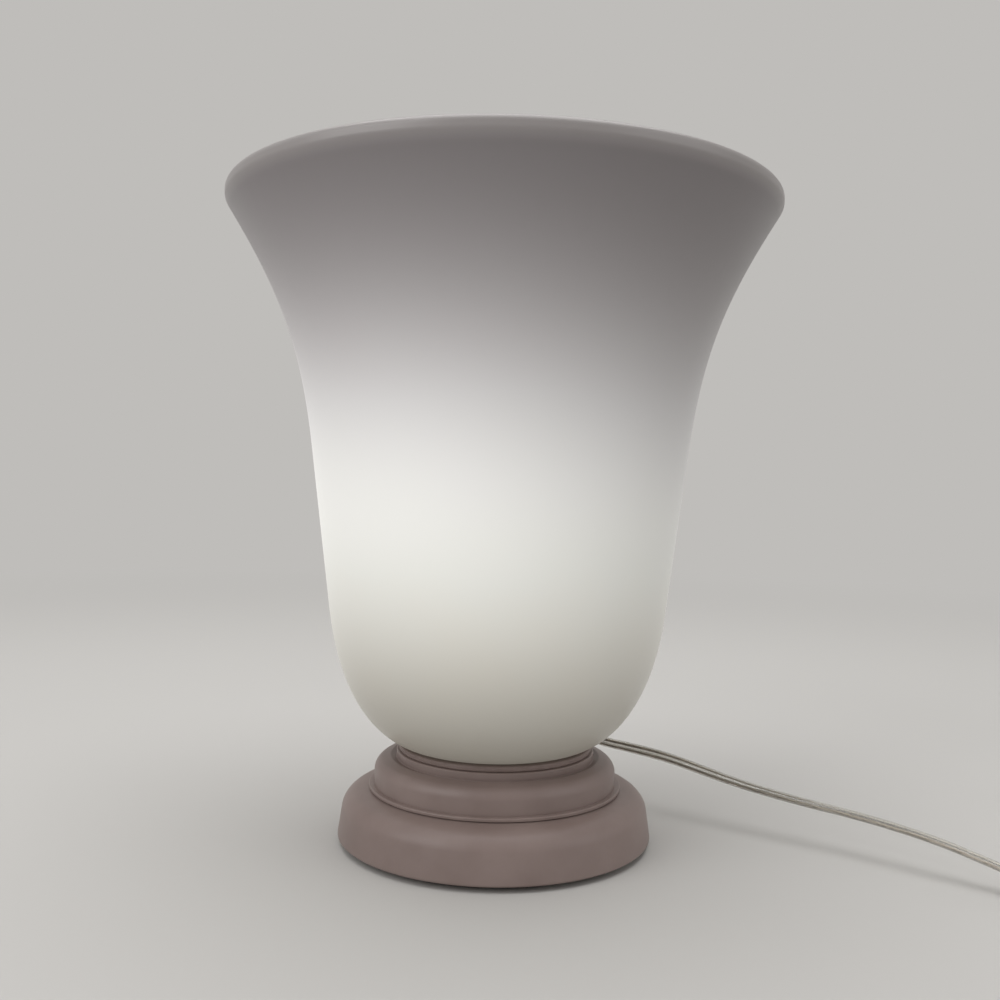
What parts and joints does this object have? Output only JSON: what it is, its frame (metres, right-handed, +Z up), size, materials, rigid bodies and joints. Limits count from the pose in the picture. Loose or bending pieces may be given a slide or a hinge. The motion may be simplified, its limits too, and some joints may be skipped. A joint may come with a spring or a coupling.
{
  "type": "tulip table lamp",
  "caption": "Table lamp with a flared opal glass tulip shade on a turned two-tier base, flat clear lead with in-line rocker switch and plug.",
  "frame": {"origin": "under the middle of the felt pad, on the table", "axes": "+Z up along the lamp's axis, +Y to the back where the lead leaves, +X to the right"},
  "size_m": [0.4663, 0.2557, 0.292],
  "materials": {
    "opal_glass": "opal white, fire polished",
    "lacquered_wood": "dusty rose brown lacquer, satin",
    "felt": "felt",
    "hardboard": "plain board",
    "steel": "zinc plated",
    "brass": "plain",
    "nickel": "nickel plated",
    "black_bakelite": "moulded",
    "porcelain": "unglazed",
    "core_insulation": "extruded",
    "tinted_rubber": "matte",
    "clear_pvc": "clear, slightly yellowed",
    "white_plastic": "moulded, semi-gloss",
    "black_plastic": "moulded",
    "black_tie": "woven strap",
    "lit_diffuser": "frosted, lit",
    "bulb_plastic": "moulded"
  },
  "bodies": {
    "lamp": {"felt_pad": "felt", "plinth": "lacquered_wood", "bottom_plate": "hardboard", "plate_screws": "brass", "ballast_disc": "steel", "tube_washer": "steel", "tube_nut": "brass", "threaded_tube": "brass", "upper_tier": "lacquered_wood", "cord_bush": "clear_pvc", "holder_cap": "black_bakelite", "holder_core": "porcelain", "holder_skirt": "black_bakelite", "holder_shell": "brass", "holder_contact": "brass", "holder_terminals": "brass", "core_tails": "core_insulation", "shade_gasket": "tinted_rubber", "glass_shade": "opal_glass", "shade_ring": "black_bakelite", "lead_run": "clear_pvc", "switch_lower_case": "white_plastic", "switch_upper_case": "white_plastic", "switch_screws": "steel", "switch_contacts": "brass", "lead_link": "clear_pvc", "lead_coil": "clear_pvc", "lead_tail": "clear_pvc", "coil_tie": "black_tie", "plug_body": "white_plastic", "plug_pins": "nickel", "plug_sleeves": "black_plastic"},
    "rocker": {"switch_rocker": "black_plastic", "switch_bridge": "brass"},
    "bulb": {"bulb_globe": "lit_diffuser", "bulb_housing": "bulb_plastic", "bulb_cap": "nickel", "bulb_contact": "black_plastic"}
  },
  "joints": [
    {"name": "switch_rock", "type": "hinge", "parent": "lamp", "child": "rocker", "pos_m": [0.23992, -0.09192, 0.0145], "axis": [0.7071, 0.7071, 0], "range_deg": [-20, 0]},
    {"name": "bulb_lift", "type": "slide", "parent": "lamp", "child": "bulb", "axis": [0, 0, 1], "range_m": [0, 0.24]}
  ]
}
